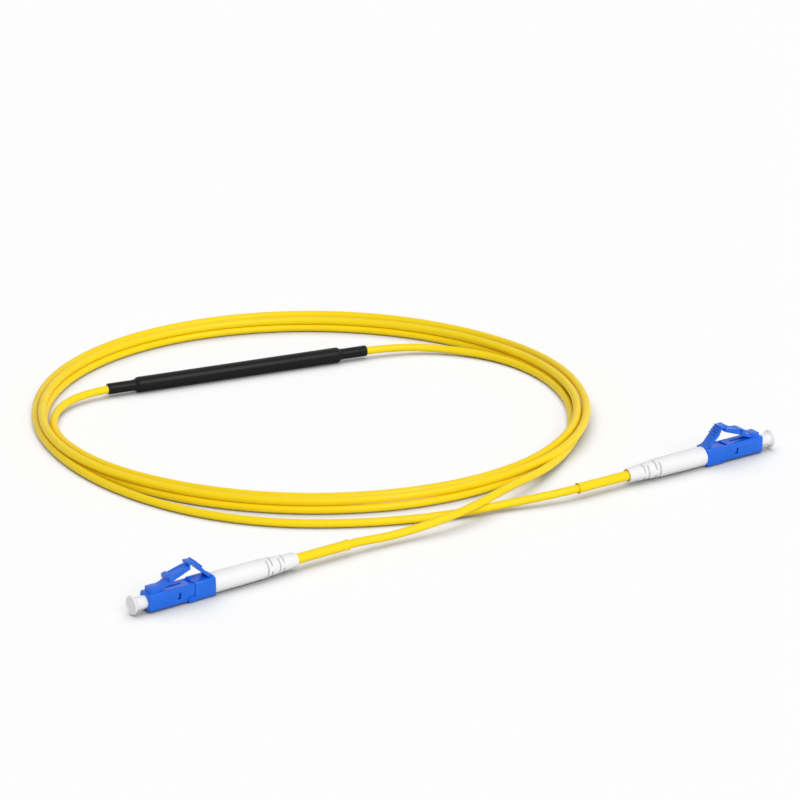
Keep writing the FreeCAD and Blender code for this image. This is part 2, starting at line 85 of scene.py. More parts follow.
def linear(hex_colour: str) -> tuple[float, float, float, float]:
    """Turn an sRGB hex colour into linear light.

    Args:
        hex_colour: colour written as #RRGGBB.

    Returns:
        Linear red, green, blue and an alpha of one.
    """
    channels = [int(hex_colour[i : i + 2], 16) / 255 for i in (1, 3, 5)]
    light = [c / 12.92 if c <= 0.04045 else ((c + 0.055) / 1.055) ** 2.4 for c in channels]
    return (light[0], light[1], light[2], 1.0)


def add_node(
    tree: bpy.types.NodeTree, kind: str, settings: dict[str | int, Any], links: dict[str | int, Any]
) -> bpy.types.Node:
    """Add one shader node with its settings and the links into it.

    Args:
        tree: node tree of a material or of the world.
        kind: Blender's name for the node type.
        settings: values by the name of a property, or by the name or the number of an input.
        links: output sockets by the name, or the number, of the input that they feed.

    Returns:
        The new node.
    """
    node = tree.nodes.new(kind)
    for key, value in settings.items():
        if isinstance(key, int) or key in node.inputs:
            node.inputs[key].default_value = value
        else:
            setattr(node, key, value)
    for key, source in links.items():
        tree.links.new(source, node.inputs[key])
    return node


def seen_rays(tree: bpy.types.NodeTree) -> bpy.types.NodeSocket:
    """Tell the rays that show a surface to the eye from those that light something.

    A surface is seen straight, in a mirror or through glass.

    Args:
        tree: node tree of a material or of the world.

    Returns:
        Output that is one for a ray that is seen and zero for one that lights something.
    """
    rays = add_node(tree, "ShaderNodeLightPath", {}, {})
    mirrored = add_node(
        tree,
        "ShaderNodeMath",
        {"operation": "MAXIMUM"},
        {0: rays.outputs["Is Glossy Ray"], 1: rays.outputs["Is Transmission Ray"]},
    )
    seen = add_node(
        tree,
        "ShaderNodeMath",
        {"operation": "MAXIMUM"},
        {0: rays.outputs["Is Camera Ray"], 1: mirrored.outputs["Value"]},
    )
    return seen.outputs["Value"]


@dataclass(frozen=True)
class Finish:
    """A surface: its colour, how it shines and the grain that its making leaves.

    slot is the record's material slot, which is not used here. grain_mm is the size of the fine grain,
    relief_mm its depth, patch_mm the size of the slow change in tone and gloss, and tone the second colour of
    that change. stretch draws both patterns out along axes that are turned by yaw degrees.
    """

    name: str
    slot: str
    colour: str
    tone: str
    roughness: tuple[float, float]
    grain_mm: float
    relief_mm: float
    patch_mm: float
    ior: float = 1.5
    specular: float = 0.5
    metallic: float = 0.0
    subsurface: float = 0.0
    subsurface_mm: float = 0.0
    transmission: float = 0.0
    stretch: Point = (1.0, 1.0, 1.0)
    yaw: float = 0.0

    def material(self) -> bpy.types.Material:
        """Make the material, or give the one that was made before.

        Returns:
            The material of this finish.
        """
        ready = bpy.data.materials.get(self.name)
        if ready is not None:
            return ready
        made = bpy.data.materials.new(self.name)
        made.use_nodes = True
        tree = made.node_tree
        tree.nodes.clear()
        where = add_node(tree, "ShaderNodeTexCoord", {}, {})
        turned = add_node(
            tree,
            "ShaderNodeMapping",
            {"vector_type": "TEXTURE", "Rotation": (0.0, 0.0, math.radians(self.yaw)), "Scale": self.stretch},
            {"Vector": where.outputs["Object"]},
        )
        patches = add_node(
            tree,
            "ShaderNodeTexNoise",
            {"Scale": 1 / (self.patch_mm * MM), **PATCH_NOISE},
            {"Vector": turned.outputs["Vector"]},
        )
        tone = add_node(
            tree,
            "ShaderNodeMix",
            {"data_type": "RGBA", MIX_FIRST: linear(self.colour), MIX_SECOND: linear(self.tone)},
            {MIX_FACTOR: patches.outputs["Fac"]},
        )
        gloss = add_node(
            tree,
            "ShaderNodeMapRange",
            {
                "From Min": GLOSS_RANGE[0],
                "From Max": GLOSS_RANGE[1],
                "To Min": self.roughness[0],
                "To Max": self.roughness[1],
            },
            {"Value": patches.outputs["Fac"]},
        )
        grain = add_node(
            tree,
            "ShaderNodeTexNoise",
            {"Scale": 1 / (self.grain_mm * MM), **GRAIN_NOISE},
            {"Vector": turned.outputs["Vector"]},
        )
        relief = add_node(
            tree,
            "ShaderNodeBump",
            {"Strength": 1.0, "Distance": self.relief_mm * MM},
            {"Height": grain.outputs["Fac"]},
        )
        shader = add_node(
            tree,
            "ShaderNodeBsdfPrincipled",
            {
                "IOR": self.ior,
                "Specular IOR Level": self.specular,
                "Metallic": self.metallic,
                "Subsurface Weight": self.subsurface,
                "Subsurface Radius": (1.0, 1.0, 1.0),
                "Subsurface Scale": self.subsurface_mm * MM,
                "Transmission Weight": self.transmission,
            },
            {
                "Base Color": tone.outputs[MIX_RESULT],
                "Roughness": gloss.outputs["Result"],
                "Normal": relief.outputs["Normal"],
            },
        )
        add_node(tree, "ShaderNodeOutputMaterial", {}, {"Surface": shader.outputs["BSDF"]})
        return made

    def dress(self, piece: bpy.types.Object) -> None:
        """Put this finish on every face of a piece.

        Args:
            piece: mesh or curve object.
        """
        piece.data.materials.clear()
        piece.data.materials.append(self.material())


# The real grain of these surfaces measures some hundredths of a millimetre, which is too fine to show. It is
# drawn several times as coarse, at 0.1 to 0.7 mm.

# Extruded flame-retardant polyolefin: even saturated yellow with a soft satin sheen and hardly any grain.
JACKET = Finish(
    name="extruded_yellow_jacket",
    slot="yellow_jacket",
    colour="#FFE006",
    tone="#FDD904",
    roughness=(0.36, 0.44),
    grain_mm=0.5,
    relief_mm=0.006,
    patch_mm=7.0,
    specular=0.26,
)
# Injection-moulded PBT: strong royal blue, smooth from the tool, so that upward faces mirror the pale room.
BLUE_PBT = Finish(
    name="moulded_blue_pbt",
    slot="blue_plastic",
    colour="#086CE6",
    tone="#0763DA",
    roughness=(0.28, 0.38),
    grain_mm=0.25,
    relief_mm=0.003,
    patch_mm=2.0,
    specular=0.4,
)
# Moulded thermoplastic elastomer: matt white that light enters a little, so that its shade is soft.
BOOT_TPE = Finish(
    name="moulded_white_tpe",
    slot="white_boot",
    colour="#F4F4F3",
    tone="#ECECEC",
    roughness=(0.5, 0.62),
    grain_mm=0.3,
    relief_mm=0.006,
    patch_mm=5.0,
    subsurface=0.03,
    subsurface_mm=0.3,
)
# Moulded polyethylene: milky white with a waxy sheen, and thin walls that let light through.
CAP_PE = Finish(
    name="moulded_milky_pe",
    slot="white_cap",
    colour="#FBFBFA",
    tone="#F5F5F5",
    roughness=(0.3, 0.4),
    grain_mm=0.3,
    relief_mm=0.004,
    patch_mm=2.0,
    subsurface=0.2,
    subsurface_mm=0.8,
    transmission=0.1,
)
# Heat-shrunk polyolefin: satin black, drawn into faint lengthwise creases as it shrank.
SHRINK = Finish(
    name="shrunk_black_polyolefin",
    slot="black_sleeve",
    colour="#09090A",
    tone="#0E0E0F",
    roughness=(0.34, 0.42),
    grain_mm=0.7,
    relief_mm=0.015,
    patch_mm=4.0,
    specular=0.18,
    stretch=(9.0, 1.0, 1.0),
    yaw=ATTENUATOR_YAW,
)
# Sintered and ground zirconia: dense glossy off-white ceramic.
ZIRCONIA = Finish(
    name="ground_zirconia",
    slot="zirconia",
    colour="#F4F2EA",
    tone="#EFECE2",
    roughness=(0.06, 0.12),
    grain_mm=0.1,
    relief_mm=0.0005,
    patch_mm=1.0,
    ior=2.1,
)
# Nickel-plated turned brass: warm bright metal, with a gloss that changes a little from place to place.
NICKEL = Finish(
    name="turned_nickel_plate",
    slot="nickel_plate",
    colour="#C6C2BA",
    tone="#B4B0A8",
    roughness=(0.18, 0.3),
    grain_mm=0.15,
    relief_mm=0.003,
    patch_mm=1.5,
    metallic=1.0,
)
# Drawn stainless spring wire: darker bright metal.
SPRING_WIRE = Finish(
    name="drawn_spring_steel",
    slot="spring_steel",
    colour="#A3A3A2",
    tone="#8E8E8D",
    roughness=(0.22, 0.32),
    grain_mm=0.1,
    relief_mm=0.002,
    patch_mm=0.8,
    metallic=1.0,
)
# Extruded tight buffer: pale ivory nylon over the fibre.
BUFFER = Finish(
    name="extruded_ivory_buffer",
    slot="buffer_coat",
    colour="#EFEBD6",
    tone="#E6E1C8",
    roughness=(0.38, 0.48),
    grain_mm=0.3,
    relief_mm=0.003,
    patch_mm=4.0,
)


def nothing_selected() -> None:
    """Leave edit mode and deselect every object."""
    if bpy.context.object is not None and bpy.context.object.mode != "OBJECT":
        bpy.ops.object.mode_set(mode="OBJECT")
    bpy.ops.object.select_all(action="DESELECT")


def only_selected(piece: bpy.types.Object) -> None:
    """Select one object and make it the active one.

    Args:
        piece: object to work on.
    """
    nothing_selected()
    piece.select_set(True)
    bpy.context.view_layer.objects.active = piece


def smooth(piece: bpy.types.Object) -> None:
    """Shade a piece smooth between its sharp edges.

    Args:
        piece: mesh object.
    """
    only_selected(piece)
    bpy.ops.object.shade_smooth_by_angle(angle=math.radians(SMOOTH))


def finished(piece: bpy.types.Object, edge_mm: float) -> None:
    """Round a piece's sharp edges and shade it smooth between them.

    Args:
        piece: mesh object.
        edge_mm: width of the rounding on an edge.
    """
    only_selected(piece)
    rounding = piece.modifiers.new("edge", "BEVEL")
    rounding.limit_method = "ANGLE"
    rounding.angle_limit = math.radians(SHARP)
    rounding.width = edge_mm * MM
    rounding.segments = EDGE_FACES
    rounding.use_clamp_overlap = True
    bpy.ops.object.modifier_apply(modifier=rounding.name)
    bpy.ops.object.mode_set(mode="EDIT")
    bpy.ops.mesh.select_all(action="SELECT")
    bpy.ops.mesh.dissolve_degenerate(threshold=MERGE)
    bpy.ops.object.mode_set(mode="OBJECT")
    smooth(piece)


def turned_piece(name: str, outline: Profile, sides: int, solid_ends: bool) -> bpy.types.Object:
    """Model a round piece about the x axis: a circle is extruded and resized from ring to ring.

    Args:
        name: name of the piece.
        outline: (x, radius) points in millimetres, outside first and then back through the bore.
        sides: number of corners of the circle.
        solid_ends: whether the first and the last ring are filled; if not, the outline closes on itself.

    Returns:
        The piece, in the frame of its own axis.
    """
    nothing_selected()
    x, radius = outline[0]
    bpy.ops.mesh.primitive_circle_add(
        vertices=sides,
        radius=radius * MM,
        fill_type="NGON" if solid_ends else "NOTHING",
        location=(x * MM, 0.0, 0.0),
        rotation=(0.0, math.pi / 2, 0.0),
    )
    piece = bpy.context.object
    piece.name = name
    piece.data.name = name
    bpy.ops.object.transform_apply(location=True, rotation=True, scale=True)
    bpy.ops.object.mode_set(mode="EDIT")
    bpy.ops.mesh.select_all(action="SELECT")
    rings = outline[1:] if solid_ends else outline[1:] + outline[:1]
    for next_x, next_radius in rings:
        bpy.ops.mesh.extrude_edges_move(TRANSFORM_OT_translate={"value": ((next_x - x) * MM, 0.0, 0.0)})
        scale = next_radius / radius
        bpy.ops.transform.resize(value=(1.0, scale, scale), center_override=(next_x * MM, 0.0, 0.0))
        x, radius = next_x, next_radius
    if solid_ends:
        bpy.ops.mesh.edge_face_add()
    bpy.ops.mesh.select_all(action="SELECT")
    bpy.ops.mesh.remove_doubles(threshold=MERGE)
    bpy.ops.mesh.normals_make_consistent(inside=False)
    bpy.ops.object.mode_set(mode="OBJECT")
    return piece


def shifted(profile: Profile, x: float) -> Profile:
    """Move a profile along its axis by x millimetres."""
    return [(x + along, radius) for along, radius in profile]


def copied(piece: bpy.types.Object, name: str) -> bpy.types.Object:
    """Copy a piece with a mesh of its own.

    Args:
        piece: object to copy.
        name: name of the copy.

    Returns:
        The copy.
    """
    twin = piece.copy()
    twin.data = piece.data.copy()
    twin.name = name
    twin.data.name = name
    twin.parent = None
    bpy.context.scene.collection.objects.link(twin)
    return twin


def merged_copy(node: str, name: str, flat_faces: bool) -> bpy.types.Object:
    """Copy a CAD node and join its loose triangles at their corners.

    Args:
        node: name of the node.
        name: name of the copy.
        flat_faces: whether triangles in one plane become one face.

    Returns:
        The copy.
    """
    piece = copied(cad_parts[node], name)
    only_selected(piece)
    bpy.ops.object.mode_set(mode="EDIT")
    bpy.ops.mesh.select_all(action="SELECT")
    bpy.ops.mesh.remove_doubles(threshold=MERGE)
    if flat_faces:
        bpy.ops.mesh.dissolve_limited(angle_limit=math.radians(FLAT))
    bpy.ops.object.mode_set(mode="OBJECT")
    return piece


def put(piece: bpy.types.Object, origin: Point, yaw: float) -> None:
    """Turn and move a piece from its own frame to its place, with the place in its mesh.

    Args:
        piece: object modelled about the x axis.
        origin: place of its own origin in millimetres.
        yaw: turn about the upright axis in degrees.
    """
    only_selected(piece)
    turn = Matrix.Rotation(math.radians(yaw), 4, "Z")
    piece.matrix_world = Matrix.Translation(Vector(origin) * MM) @ turn
    bpy.ops.object.transform_apply(location=True, rotation=True, scale=True)


def handed_over(piece: bpy.types.Object, body: str, finish: Finish, *nodes: str) -> None:
    """Give a finished piece its body, its finish, and the nodes that it stands for.

    Args:
        piece: finished object.
        body: CAD body that it rides on.
        finish: surface that it gets.
        nodes: CAD nodes that it replaces.
    """
    finish.dress(piece)
    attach(piece, body)
    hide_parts(*nodes)
    log.info("%s rides on %s", piece.name, body)


def dress_nodes(finishes: dict[str, Finish]) -> None:
    """Give CAD nodes that stay as they are their finish.

    Args:
        finishes: finish by the node's name.
    """
    for node, finish in finishes.items():
        finish.dress(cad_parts[node])
        log.info("%s keeps its CAD shape", node)


@dataclass
class Studio:
    """Camera, pale floor and soft light, in metres and in the frame of the part.

    The lens and the sensor are in millimetres. The eye sees floor_tone and backdrop, where the part is lit by
    floor_bounce and sky. The floor lies floor_drop under the plane that the part rests on.
    """

    lens: float = 162.0
    sensor: float = 36.0
    clip: tuple[float, float] = (0.01, 50.0)
    camera_at: Point = (-0.00826, -0.88639, 0.36148)
    camera_tilt: float = 69.0
    camera_roll: float = -0.3
    floor_side: float = 6.0
    floor_drop: float = 0.00002
    floor_tone: str = "#B8B8B8"
    floor_bounce: str = "#A8A8A8"
    sky: float = 0.55
    backdrop: float = 0.98
    key_from: Point = (0.6, -0.8, 0.9)
    key_strength: float = 1.55
    key_spread: float = 40.0
    shade_from: Point = (-0.1, 0.32, 1.0)
    shade_strength: float = 3.88
    shade_spread: float = 75.0

    def place_camera(self) -> None:
        """Stand the camera where the photograph was taken from."""
        data = bpy.data.cameras.new("camera")
        data.lens = self.lens
        data.sensor_width = self.sensor
        data.clip_start, data.clip_end = self.clip
        camera = bpy.data.objects.new("camera", data)
        camera.location = self.camera_at
        tilt, roll = math.radians(self.camera_tilt), math.radians(self.camera_roll)
        camera.rotation_euler = (Matrix.Rotation(tilt, 3, "X") @ Matrix.Rotation(roll, 3, "Z")).to_euler()
        bpy.context.scene.collection.objects.link(camera)
        bpy.context.scene.camera = camera

    def lay_floor(self) -> bpy.types.Object:
        """Lay the floor: matt grey paper that the lamps bring to white, so that only shadows show.

        Returns:
            The floor.
        """
        nothing_selected()
        bpy.ops.mesh.primitive_plane_add(size=self.floor_side, location=(0.0, 0.0, -self.floor_drop))
        floor = bpy.context.object
        floor.name = "studio_floor"
        made = bpy.data.materials.new("studio_floor_paper")
        made.use_nodes = True
        tree = made.node_tree
        tree.nodes.clear()
        tone = add_node(
            tree,
            "ShaderNodeMix",
            {"data_type": "RGBA", MIX_FIRST: linear(self.floor_bounce), MIX_SECOND: linear(self.floor_tone)},
            {MIX_FACTOR: seen_rays(tree)},
        )
        paper = add_node(tree, "ShaderNodeBsdfDiffuse", {}, {"Color": tone.outputs[MIX_RESULT]})
        add_node(tree, "ShaderNodeOutputMaterial", {}, {"Surface": paper.outputs["BSDF"]})
        floor.data.materials.append(made)
        return floor

    def light(self, floor: bpy.types.Object) -> None:
        """Hang the sky, a wide lamp to the upper right, and one behind whose shadows fall on the floor alone.

        Args:
            floor: the only piece that the lamp behind lights.
        """
        world = bpy.data.worlds.new("studio_sky")
        bpy.context.scene.world = world
        world.use_nodes = True
        tree = world.node_tree
        tree.nodes.clear()
        strength = add_node(
            tree,
            "ShaderNodeMapRange",
            {"To Min": self.sky, "To Max": self.backdrop},
            {"Value": seen_rays(tree)},
        )
        sky = add_node(
            tree,
            "ShaderNodeBackground",
            {"Color": (1.0, 1.0, 1.0, 1.0)},
            {"Strength": strength.outputs["Result"]},
        )
        add_node(tree, "ShaderNodeOutputWorld", {}, {"Surface": sky.outputs["Background"]})
        self.hang_lamp("key_lamp", self.key_from, self.key_strength, self.key_spread)
        shade = self.hang_lamp("shade_lamp", self.shade_from, self.shade_strength, self.shade_spread)
        lit = bpy.data.collections.new("lit_by_shade_lamp")
        lit.objects.link(floor)
        shade.light_linking.receiver_collection = lit

    def hang_lamp(self, name: str, place: Point, strength: float, spread: float) -> bpy.types.Object:
        """Hang one far lamp that points at the part.

        Args:
            name: name of the lamp.
            place: a place on the line from the part to the lamp.
            strength: its light in watts per square metre.
            spread: its width as seen from the part, in degrees.

        Returns:
            The lamp.
        """
        data = bpy.data.lights.new(name, "SUN")
        data.energy = strength
        data.angle = math.radians(spread)
        lamp = bpy.data.objects.new(name, data)
        lamp.location = place
        lamp.rotation_euler = (-Vector(place)).to_track_quat("-Z", "Y").to_euler()
        bpy.context.scene.collection.objects.link(lamp)
        return lamp


@dataclass
class Cable:
    """The two lengths of cable: plug A to the attenuator, and the attenuator to plug B; millimetres.

    A coil key is (angle in degrees about the coil's centre, radius, height of the centre line). The spans are
    the angles between which each length lies in turns, with a control point at every coil_step degrees.
    """

    diameter: float = 2.2
    coil_centre: tuple[float, float] = (-33.0, 46.0)
    coil_step: float = 15.0
    span_a: tuple[float, float] = (7.0, 345.0)
    span_b: tuple[float, float] = (206.0, 903.0)
    curve_order: int = 3
    steps_along: int = 8
    steps_round: int = 6
    lead_a: list[Point] = field(
        default_factory=lambda: [
            (-24.73, -55.28, 2.65),
            (-21.45, -52.99, 2.65),
            (-18.99, -51.26, 2.65),
            (-9.16, -45.6, 2.0),
            (7.5, -36.0, 4.0),
            (20.5, -18.0, 4.0),
            (31.0, -1.5, 2.2),
            (38.0, 16.5, 1.2),
            (41.7, 35.0, 1.1),
        ]
    )
    turn_a: list[Point] = field(
        default_factory=lambda: [
            (-8.3, 76.3, 1.1),
            (15.0, 72.8, 1.1),
            (45.0, 67.6, 1.1),
            (75.0, 65.75, 1.1),
            (105.0, 67.35, 1.1),
            (135.0, 70.85, 1.1),
            (165.0, 73.2, 1.1),
            (195.0, 73.8, 1.1),
            (240.0, 71.9, 1.1),
            (270.0, 72.4, 1.1),
            (300.0, 74.95, 1.1),
            (330.0, 75.4, 1.1),
            (355.0, 72.95, 1.1),
        ]
    )
    strand_right: list[Point] = field(
        default_factory=lambda: [
            (39.6, 39.65, 1.1),
            (37.95, 56.35, 1.1),
            (32.0, 72.25, 1.1),
            (20.6, 86.0, 1.2),
            (4.6, 93.1, 1.5),
            (-10.52, 92.74, 2.2),
            (-22.52, 87.73, 2.2),
        ]
    )
    strand_left: list[Point] = field(
        default_factory=lambda: [
            (-85.98, 61.17, 2.2),
            (-96.13, 56.93, 2.2),
            (-103.7, 46.0, 1.6),
            (-103.7, 31.2, 1.1),
        ]
    )
    turns_b: list[Point] = field(
        default_factory=lambda: [
            (191.8, 72.3, 1.1),
            (210.0, 68.9, 1.1),
            (240.0, 64.2, 1.1),
            (270.0, 63.75, 1.1),
            (300.0, 66.7, 1.1),
            (322.0, 71.9, 1.7),
            (330.0, 73.5, 2.6),
            (340.0, 74.6, 3.25),
            (375.0, 72.2, 3.3),
            (405.0, 67.7, 3.3),
            (435.0, 66.0, 3.3),
            (465.0, 67.45, 3.3),
            (495.0, 71.15, 3.3),
            (525.0, 73.9, 3.3),
            (570.0, 74.0, 3.3),
            (600.0, 71.6, 3.3),
            (630.0, 72.1, 3.3),
            (660.0, 74.35, 3.3),
            (690.0, 77.3, 3.3),
            (720.0, 76.2, 3.3),
            (735.0, 75.1, 3.2),
            (750.0, 75.1, 2.4),
            (765.0, 75.8, 1.4),
            (780.0, 76.4, 1.1),
            (840.0, 79.3, 1.1),
            (870.0, 79.0, 1.1),
            (900.0, 76.5, 1.1),
            (913.0, 75.75, 1.1),
        ]
    )
    lead_b: list[Point] = field(
        default_factory=lambda: [
            (-107.4, 29.9, 1.1),
            (-100.4, 12.3, 1.1),
            (-90.0, -4.1, 1.1),
            (-76.0, -18.5, 1.1),
            (-59.5, -29.3, 1.1),
            (-41.5, -35.2, 1.1),
            (-23.5, -36.0, 1.1),
            (-5.5, -33.4, 1.1),
            (8.0, -29.49, 1.35),
            (20.0, -24.53, 1.8),
            (29.0, -21.21, 2.3),
            (35.46, -18.41, 2.65),
            (37.98, -16.78, 2.65),
            (41.33, -14.6, 2.65),
        ]
    )
    length_a: float = 0.67
    length_b: float = 1.14

    def turns(self, keys: list[Point], first: float, last: float) -> list[Point]:
        """Points of the coil's turns, by a smooth curve through the keys.

        Args:
            keys: coil keys in order of angle, reaching past both ends.
            first: angle of the first point.
            last: angle that no point passes.

        Returns:
            Control points, set out so far that the line itself runs at the keyed radius.
        """
        points = []
        outward = 1 / math.cos(math.radians(self.coil_step / 2))
        count = int((last - first) / self.coil_step) + 1
        for i in range(count):
            angle = first + i * self.coil_step
            radius, height = self.between(keys, angle)
            turn = math.radians(angle)
            x = self.coil_centre[0] + radius * outward * math.cos(turn)
            y = self.coil_centre[1] + radius * outward * math.sin(turn)
            points.append((x, y, height))
        return points

    def between(self, keys: list[Point], angle: float) -> tuple[float, float]:
        """Radius and height at an angle, by a cubic with the slope of the neighbouring keys.

        Args:
            keys: coil keys in order of angle.
            angle: angle between the first and the last key.

        Returns:
            Radius and height.
        """
        i = max(k for k in range(len(keys) - 1) if keys[k][0] <= angle or k == 0)
        ends = (keys[max(i - 1, 0)], keys[i], keys[i + 1], keys[min(i + 2, len(keys) - 1)])
        span = ends[2][0] - ends[1][0]
        t = (angle - ends[1][0]) / span
        values = []
        for part in (1, 2):
            leave = span * (ends[2][part] - ends[0][part]) / (ends[2][0] - ends[0][0])
            reach = span * (ends[3][part] - ends[1][part]) / (ends[3][0] - ends[1][0])
            value = (2 * t**3 - 3 * t**2 + 1) * ends[1][part] + (t**3 - 2 * t**2 + t) * leave
            value += (3 * t**2 - 2 * t**3) * ends[2][part] + (t**3 - t**2) * reach
            values.append(value)
        return values[0], values[1]

    def cord(self, name: str, route: list[Point]) -> bpy.types.Object:
        """Make one length of cable as a smooth curve with the route as its control points.

        Args:
            name: name of the piece.
            route: control points in millimetres.

        Returns:
            The curve object.
        """
        data = bpy.data.curves.new(name, "CURVE")
        data.dimensions = "3D"
        data.resolution_u = self.steps_along
        data.bevel_depth = self.diameter / 2 * MM
        data.bevel_resolution = self.steps_round
        data.use_fill_caps = True
        spline = data.splines.new("NURBS")
        spline.points.add(len(route) - 1)
        for point, place in zip(spline.points, route):
            point.co = (*(Vector(place) * MM), 1.0)
        spline.order_u = self.curve_order
        spline.use_endpoint_u = True
        spline.use_smooth = True
        piece = bpy.data.objects.new(name, data)
        bpy.context.scene.collection.objects.link(piece)
        return piece

    def build(self) -> None:
        route = self.lead_a + self.turns(self.turn_a, *self.span_a) + self.strand_right
        a_side = self.cord("cable_a_side", route)
        handed_over(a_side, Body.CABLE.value, JACKET, "cable_lead_a", "cable_strand_right")
        route = self.strand_left + self.turns(self.turns_b, *self.span_b) + self.lead_b
        b_side = self.cord("cable_b_side", route)
        handed_over(b_side, Body.CABLE.value, JACKET, "cable_lead_b", "cable_strand_left", "cable_coil")


@dataclass
class PlugTail:
    """Cap, boot and strain sleeve, modelled once in a plug's own frame; millimetres from the nose.

    boot_front, boot_cavity and slots count from the collar, boot_rear and sleeve_bell from the rear end of
    their piece, and cap_flare from the front of the cap. The second number of sleeve_bell goes on top of
    sleeve_radius. slot_floor is the radius that a slot leaves, sleeve_mouth the depth of the sleeve's hollow
    end, and cap_floor the distance of the bore's end from the front of the cap.
    """

    collar_end: float = 19.0
    boot_len: float = 25.0
    boot_edge: float = 0.05
    boot_front: Profile = field(
        default_factory=lambda: [
            (0.0, 2.45),
            (0.08, 2.58),
            (0.25, 2.65),
            (7.0, 2.64),
            (12.0, 2.61),
            (14.5, 2.57),
        ]
    )
    boot_rear: Profile = field(
        default_factory=lambda: [(-0.3, 1.88), (-0.1, 1.8), (0.0, 1.7), (-0.06, 1.62), (-1.0, 1.36)]
    )
    boot_cavity: Profile = field(default_factory=lambda: [(8.2, 1.36), (8.2, 1.8), (0.0, 1.8)])
    slots: tuple[float, ...] = (15.3, 16.55, 18.95, 20.2)
    slot_stagger: float = 90.0
    slot_twist: float = -8.0
    slot_len: float = 0.46
    slot_floor: float = 1.475
    slot_half_angle: float = 72.0
    sleeve_start: float = 34.2
    sleeve_end: float = 60.0
    sleeve_radius: float = 1.31
    sleeve_bell: Profile = field(
        default_factory=lambda: [(-1.2, 0.0), (-0.5, 0.05), (-0.05, 0.11), (0.0, 0.1), (-0.3, 0.03)]
    )
    sleeve_bore: float = 1.14
    sleeve_mouth: float = 2.4
    cap_reach: float = 3.9
    cap_flare: Profile = field(
        default_factory=lambda: [
            (0.45, 1.3),
            (0.36, 1.75),
            (0.1, 2.15),
            (0.0, 2.28),
            (0.03, 2.38),
            (0.12, 2.44),
            (0.28, 2.45),
            (0.4, 2.38),
            (0.6, 2.16),
            (0.85, 1.95),
            (1.15, 1.8),
            (1.5, 1.72),
            (1.9, 1.7),
        ]
    )
    cap_neck: Profile = field(default_factory=lambda: [(4.05, 1.7), (4.2, 1.6), (4.2, 0.76), (4.1, 0.68)])
    cap_floor: float = 2.9
    sides: int = 72

    def taper(self, x: float) -> float:
        """Radius of the boot behind its waist.

        Args:
            x: distance behind the collar.

        Returns:
            Radius on the straight taper from the waist to the rear end.
        """
        waist_x, waist = self.boot_front[-1]
        rear_x, rear = shifted(self.boot_rear, self.boot_len)[0]
        return waist + (rear - waist) * (x - waist_x) / (rear_x - waist_x)

    def boot(self) -> bpy.types.Object:
        """Model the boot: nearly straight to its waist, then tapering, with staggered bend slots.

        Returns:
            The boot.
        """
        edges = [edge for start in self.slots for edge in (start, start + self.slot_len)]
        outline = self.boot_front + [(x, self.taper(x)) for x in edges]
        outline += shifted(self.boot_rear, self.boot_len) + self.boot_cavity
        outline = shifted(outline, self.collar_end)
        piece = turned_piece("boot", outline, self.sides, False)
        for i, start in enumerate(self.slots):
            self.cut_slot(piece, self.collar_end + start, self.slot_stagger * (i % 2) + self.slot_twist)
        finished(piece, self.boot_edge)
        return piece

    def cut_slot(self, piece: bpy.types.Object, start: float, turn: float) -> None:
        """Sink two opposite slots into a ring of the boot by extruding its faces towards the axis.

        Args:
            piece: the boot.
            start: front edge of the ring.
            turn: angle of the first slot's middle, from the side towards the top.
        """
        only_selected(piece)
        bpy.ops.object.mode_set(mode="EDIT")
        bpy.ops.mesh.select_mode(type="FACE")
        bpy.ops.mesh.select_all(action="DESELECT")
        bpy.ops.object.mode_set(mode="OBJECT")
        middle = (start + self.slot_len / 2) * MM
        for face in piece.data.polygons:
            place = face.center
            angle = math.degrees(math.atan2(place.z, place.y)) - turn
            off = abs((angle + 90.0) % 180.0 - 90.0)
            outside = math.hypot(place.y, place.z) > self.slot_floor * MM
            on_ring = abs(place.x - middle) < self.slot_len / 4 * MM
            face.select = on_ring and outside and off < self.slot_half_angle
        bpy.ops.object.mode_set(mode="EDIT")
        bpy.ops.mesh.extrude_region_move(TRANSFORM_OT_translate={"value": (0.0, 0.0, 0.0)})
        scale = self.slot_floor / self.taper(start + self.slot_len / 2 - self.collar_end)
        bpy.ops.transform.resize(value=(1.0, scale, scale), center_override=(middle, 0.0, 0.0))
        bpy.ops.object.mode_set(mode="OBJECT")

    def strain_sleeve(self) -> bpy.types.Object:
        """Model the sleeve behind the boot, with a belled and hollow end that shows as a dark ring.

        Returns:
            The sleeve.
        """
        end = self.sleeve_end
        outline = [(self.sleeve_start, self.sleeve_radius)]
        outline += [(end + x, self.sleeve_radius + rise) for x, rise in self.sleeve_bell]
        outline += [(x, self.sleeve_bore) for x in (end - self.sleeve_mouth, self.sleeve_start)]
        piece = turned_piece("strain_sleeve", outline, self.sides, False)
        smooth(piece)
        return piece

    def dust_cap(self) -> bpy.types.Object:
        """Model the cap: a dished disc that narrows like a trumpet into its neck, with a blind bore.

        Returns:
            The cap.
        """
        front = -self.cap_reach
        bore_end = (front + self.cap_floor, self.cap_neck[-1][1])
        outline = shifted(self.cap_flare, front) + self.cap_neck + [bore_end]
        piece = turned_piece("dust_cap", outline, self.sides, True)
        smooth(piece)
        return piece


